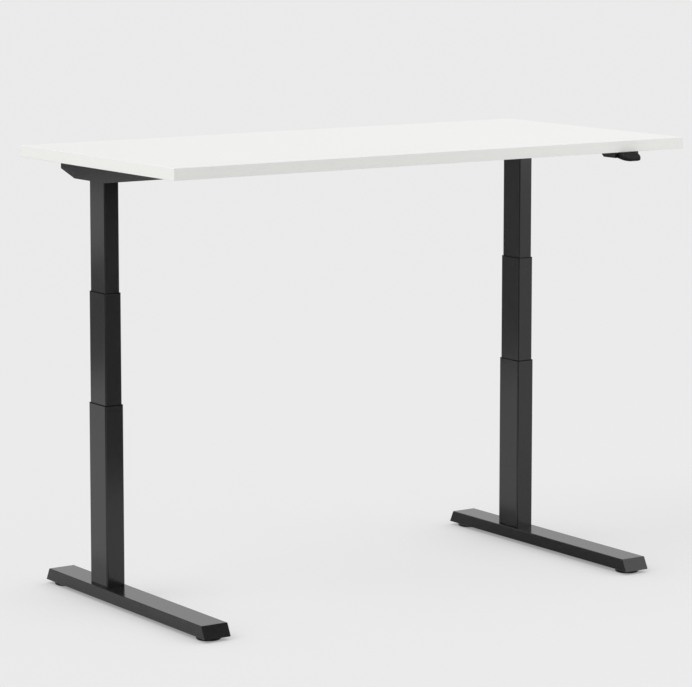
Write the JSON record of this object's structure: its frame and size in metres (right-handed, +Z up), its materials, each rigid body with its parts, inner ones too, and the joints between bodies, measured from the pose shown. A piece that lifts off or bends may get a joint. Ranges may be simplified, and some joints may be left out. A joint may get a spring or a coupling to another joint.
{
  "type": "height adjustable standing desk",
  "caption": "White rectangular desktop on two electric telescopic legs with T-shaped feet, rising and sinking at the press of a paddle under its front edge.",
  "frame": {"origin": "on the floor, under the middle of the outline", "axes": "+X along the desktop to the user's right, -Y towards the user, +Z up"},
  "size_m": [1.47, 0.793, 1.093],
  "materials": {
    "powder_coat": "charcoal black powder coat, fine satin texture",
    "zinc_steel": "zinc plated",
    "machined_steel": "machined, lightly oiled",
    "motor_steel": "rolled steel can, passivated",
    "cast_aluminium": "die cast, matt",
    "bronze": "machined bronze",
    "black_plastic": "moulded, satin black",
    "grey_nylon": "glass filled nylon",
    "control_box_black": "moulded, fine texture",
    "socket_plastic": "moulded, plain",
    "circuit_board": "solder resist",
    "laminate_board": "white melamine laminate over particle board",
    "edge_band": "white edge band, satin"
  },
  "bodies": {
    "base": {"foot_left": "powder_coat", "foot_right": "powder_coat", "foot_end_caps": "black_plastic", "glide_nuts": "zinc_steel", "outer_tube_left": "powder_coat", "outer_tube_right": "powder_coat", "column_base_plates": "machined_steel", "column_bolts": "zinc_steel", "outer_collar_left": "black_plastic", "outer_collar_right": "black_plastic", "fixed_screw_left": "machined_steel", "fixed_screw_right": "machined_steel"},
    "middle_stage": {"middle_tube_left": "powder_coat", "middle_tube_right": "powder_coat", "middle_collar_left": "black_plastic", "middle_collar_right": "black_plastic", "middle_end_block_left": "grey_nylon", "middle_end_block_right": "grey_nylon", "spindle_bearings": "machined_steel"},
    "desktop": {"control_board": "circuit_board", "control_box_case": "control_box_black", "control_box_lid": "control_box_black", "control_box_sockets": "socket_plastic", "crossbeam_bolts": "zinc_steel", "crossbeam_front": "powder_coat", "crossbeam_rear": "powder_coat", "edge_bands": "edge_band", "gearbox_bolts": "zinc_steel", "gearbox_left": "cast_aluminium", "gearbox_right": "cast_aluminium", "handset_board": "circuit_board", "handset_housing": "black_plastic", "handset_pin": "machined_steel", "inner_end_block_left": "grey_nylon", "inner_end_block_right": "grey_nylon", "inner_tube_left": "powder_coat", "inner_tube_right": "powder_coat", "lift_nuts": "bronze", "mains_inlet": "socket_plastic", "motor_left": "motor_steel", "motor_right": "motor_steel", "side_bracket_left": "powder_coat", "side_bracket_right": "powder_coat", "tabletop": "laminate_board", "wood_screws": "zinc_steel"},
    "paddle": {"handset_paddle": "black_plastic"},
    "spindle_left": {"lift_spindle_left": "machined_steel", "spindle_nut_left": "bronze"},
    "shaft_left": {"drive_shaft_left": "machined_steel"},
    "spindle_right": {"lift_spindle_right": "machined_steel", "spindle_nut_right": "bronze"},
    "shaft_right": {"drive_shaft_right": "machined_steel"},
    "glide_left_front": {"glide_pad_left_front": "black_plastic", "glide_stud_left_front": "zinc_steel"},
    "glide_left_rear": {"glide_pad_left_rear": "black_plastic", "glide_stud_left_rear": "zinc_steel"},
    "glide_right_front": {"glide_pad_right_front": "black_plastic", "glide_stud_right_front": "zinc_steel"},
    "glide_right_rear": {"glide_pad_right_rear": "black_plastic", "glide_stud_right_rear": "zinc_steel"}
  },
  "joints": [
    {"name": "lift", "type": "slide", "parent": "base", "child": "middle_stage", "axis": [0, 0, 1], "range_m": [-0.24, 0.085]},
    {"name": "lift_upper", "type": "slide", "parent": "middle_stage", "child": "desktop", "axis": [0, 0, 1], "range_m": [-0.24, 0.085]},
    {"name": "spindle_turn_left", "type": "hinge", "parent": "middle_stage", "child": "spindle_left", "pos_m": [-0.617, 0.1525, 0.5], "axis": [0, 0, 1], "range_deg": [-5401, 1913.5]},
    {"name": "shaft_turn_left", "type": "hinge", "parent": "desktop", "child": "shaft_left", "pos_m": [-0.617, 0.1525, 0.8], "axis": [0, 0, 1], "range_deg": [-5401, 1913.5]},
    {"name": "spindle_turn_right", "type": "hinge", "parent": "middle_stage", "child": "spindle_right", "pos_m": [0.617, 0.1525, 0.5], "axis": [0, 0, 1], "range_deg": [-5401, 1913.5]},
    {"name": "shaft_turn_right", "type": "hinge", "parent": "desktop", "child": "shaft_right", "pos_m": [0.617, 0.1525, 0.8], "axis": [0, 0, 1], "range_deg": [-5401, 1913.5]},
    {"name": "glide_left_front_level", "type": "slide", "parent": "base", "child": "glide_left_front", "axis": [0, 0, 1], "range_m": [-0.01, 0.001]},
    {"name": "glide_left_rear_level", "type": "slide", "parent": "base", "child": "glide_left_rear", "axis": [0, 0, 1], "range_m": [-0.01, 0.001]},
    {"name": "glide_right_front_level", "type": "slide", "parent": "base", "child": "glide_right_front", "axis": [0, 0, 1], "range_m": [-0.01, 0.001]},
    {"name": "glide_right_rear_level", "type": "slide", "parent": "base", "child": "glide_right_rear", "axis": [0, 0, 1], "range_m": [-0.01, 0.001]},
    {"name": "paddle_tilt", "type": "hinge", "parent": "desktop", "child": "paddle", "pos_m": [0.5575, -0.3535, 1.059], "axis": [-1, 0, 0], "range_deg": [-5, 5], "stiffness_Nm_per_rad": 0.6}
  ],
  "couplings": [
    {"joint": "lift_upper", "follows": "lift", "ratio": 1},
    {"joint": "spindle_turn_left", "follows": "lift", "rad_per_m": 392.7},
    {"joint": "shaft_turn_left", "follows": "lift", "rad_per_m": 392.7},
    {"joint": "spindle_turn_right", "follows": "lift", "rad_per_m": 392.7},
    {"joint": "shaft_turn_right", "follows": "lift", "rad_per_m": 392.7}
  ]
}
